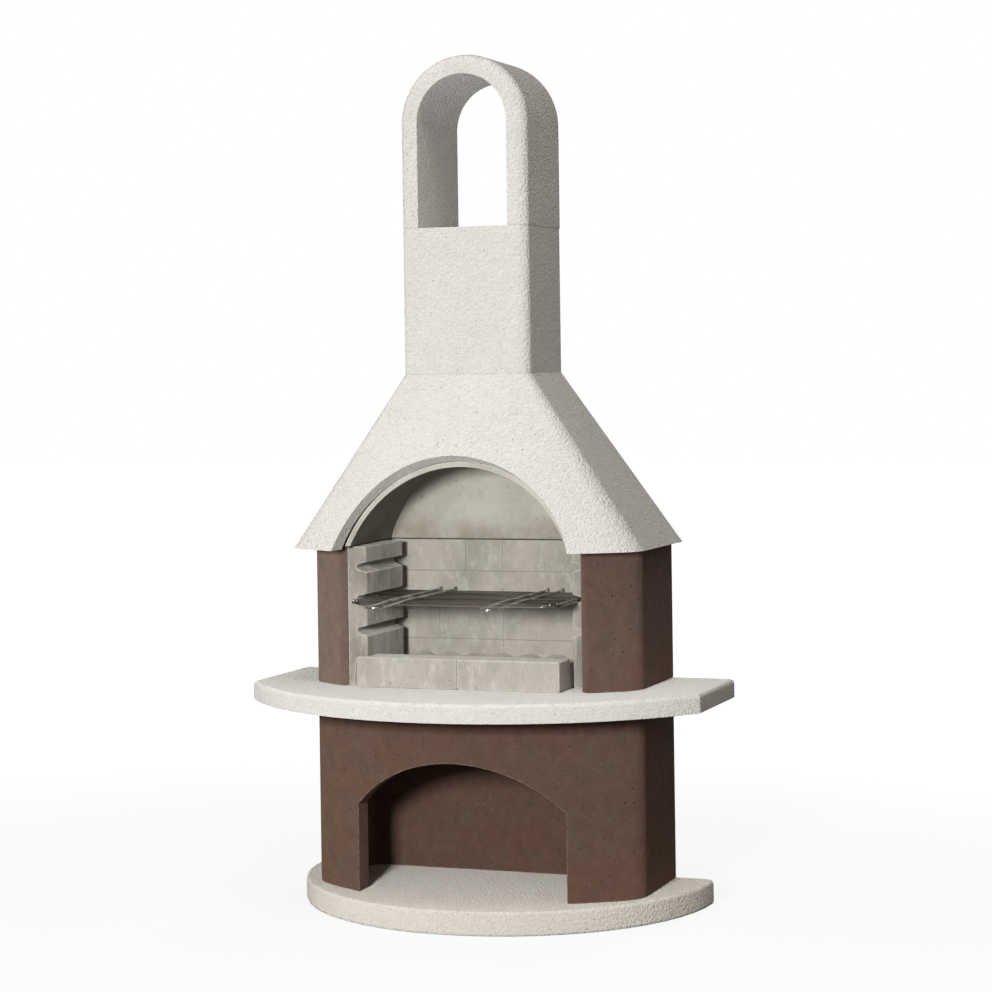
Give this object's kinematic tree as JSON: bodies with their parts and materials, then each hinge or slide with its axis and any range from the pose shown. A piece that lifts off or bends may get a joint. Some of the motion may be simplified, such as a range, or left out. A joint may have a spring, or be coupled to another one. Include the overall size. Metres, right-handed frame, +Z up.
{
  "type": "outdoor masonry barbecue",
  "caption": "Free-standing garden fireplace barbecue of cast concrete blocks, with wood store, table slab, fireclay firebox, sliding wire grid, hood and arched chimney.",
  "frame": {"origin": "on the ground, in the middle of the part's bounding box, half a table depth ahead of its flat back", "axes": "+Z up, -Y towards the cook at the front, +Y towards the flat back, +X to the right seen from the front"},
  "size_m": [1.218, 0.678, 2.2],
  "materials": {
    "white_concrete": "washed exposed aggregate, matt",
    "table_concrete": "trowelled smooth, matt",
    "brown_concrete": "pigmented cast concrete, mottled, matt",
    "fireclay": "unglazed refractory, dusty",
    "chromed_wire": "polished round wire"
  },
  "bodies": {
    "masonry": {"base_slab": "white_concrete", "wood_store": "brown_concrete", "table_slab": "table_concrete", "left_cheek": "brown_concrete", "right_cheek": "brown_concrete", "back_wall": "brown_concrete", "left_lining": "fireclay", "right_lining": "fireclay", "left_back_lining": "fireclay", "right_back_lining": "fireclay", "hearth_plate": "fireclay", "left_curb_brick": "fireclay", "right_curb_brick": "fireclay", "hood": "white_concrete", "hood_vault": "fireclay", "flue_block": "white_concrete", "chimney_arch": "white_concrete"},
    "grid": {"cooking_grid": "chromed_wire"}
  },
  "joints": [
    {"name": "grid_slide", "type": "slide", "parent": "masonry", "child": "grid", "axis": [0, -1, 0], "range_m": [0, 0.6]}
  ]
}
